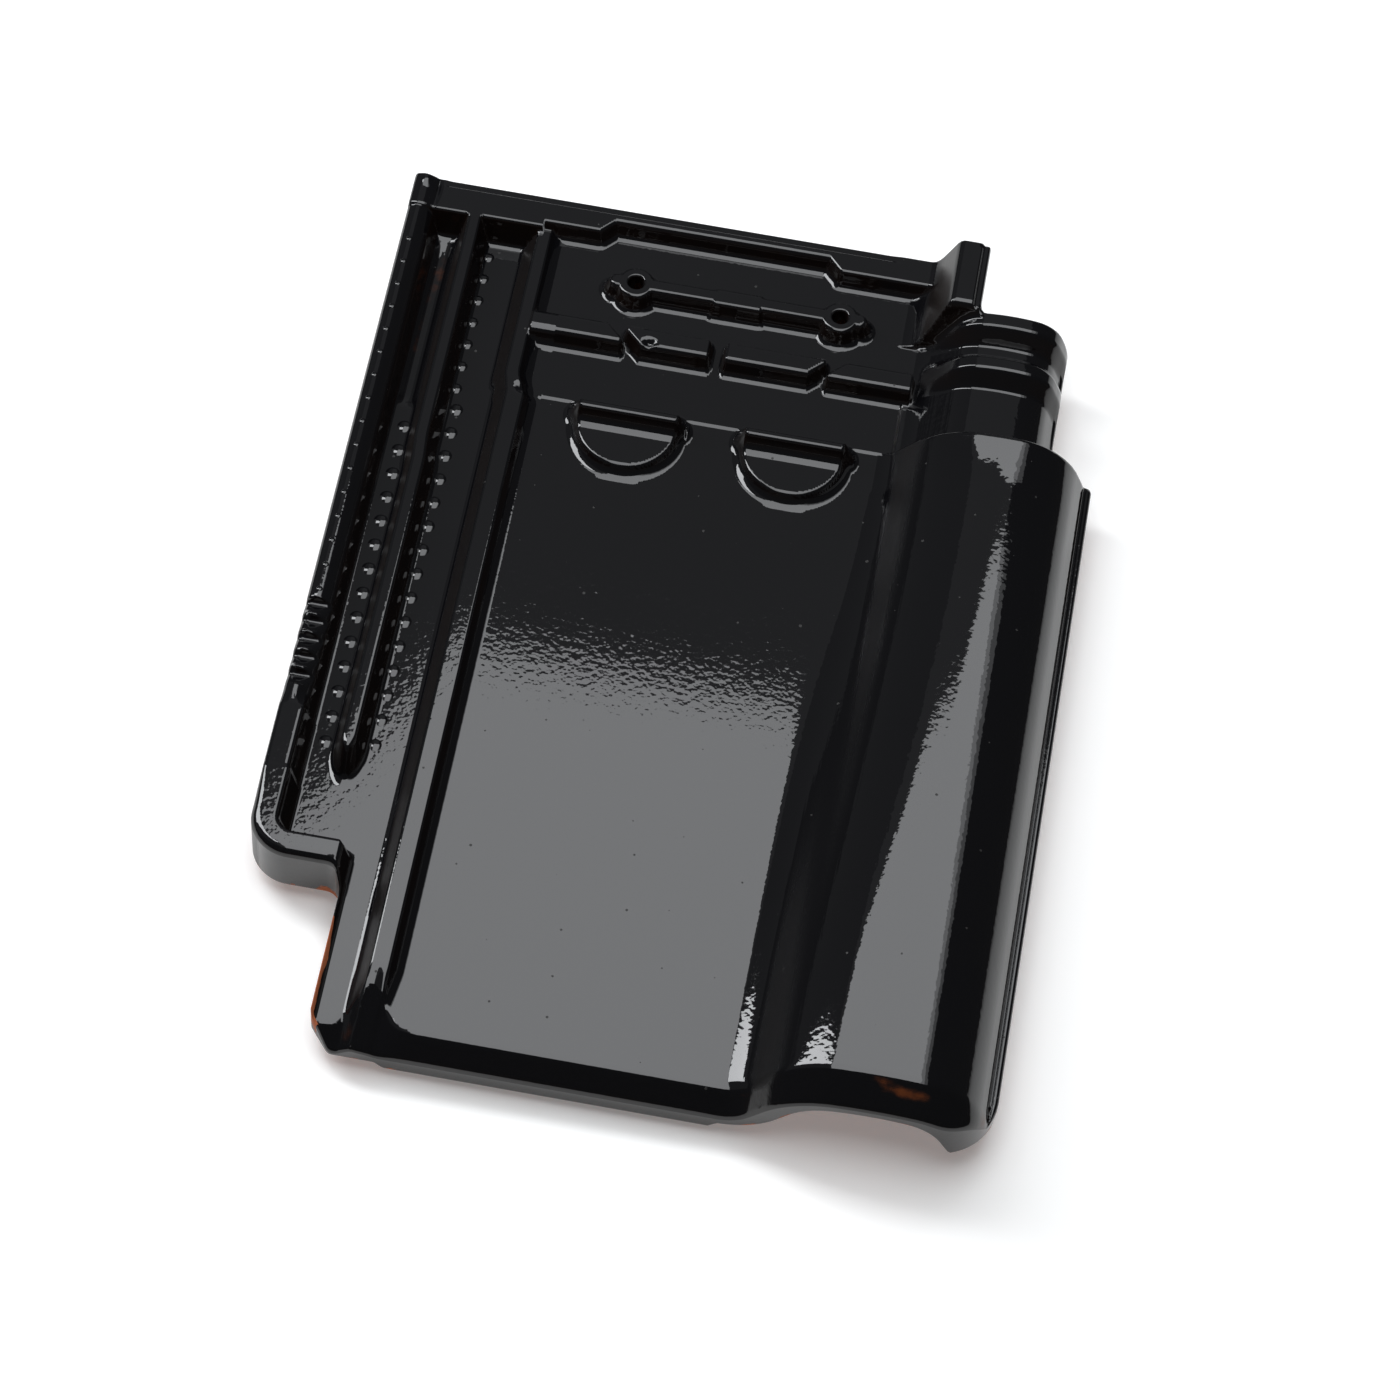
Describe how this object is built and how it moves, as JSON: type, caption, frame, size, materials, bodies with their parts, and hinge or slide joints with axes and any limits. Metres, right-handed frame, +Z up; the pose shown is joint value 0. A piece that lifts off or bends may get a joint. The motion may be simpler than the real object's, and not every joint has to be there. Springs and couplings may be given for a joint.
{
  "type": "clay roof tile",
  "caption": "Interlocking clay roof tile with a flat pan, a hollow side roll, a ribbed side lock, a nail bar and hanging nibs, in gloss black glaze.",
  "frame": {"origin": "centre of the bounding box, on the plane of the nibs and the foot bar, which is the floor the tile lies on", "axes": "+Y from the foot to the head, +X from the side lock to the roll, +Z up through the glazed face"},
  "size_m": [0.262, 0.35, 0.045],
  "materials": {
    "glaze": "gloss black glaze over fired red clay, with fine orange peel"
  },
  "bodies": {
    "root": {"tile": "glaze"}
  },
  "joints": []
}
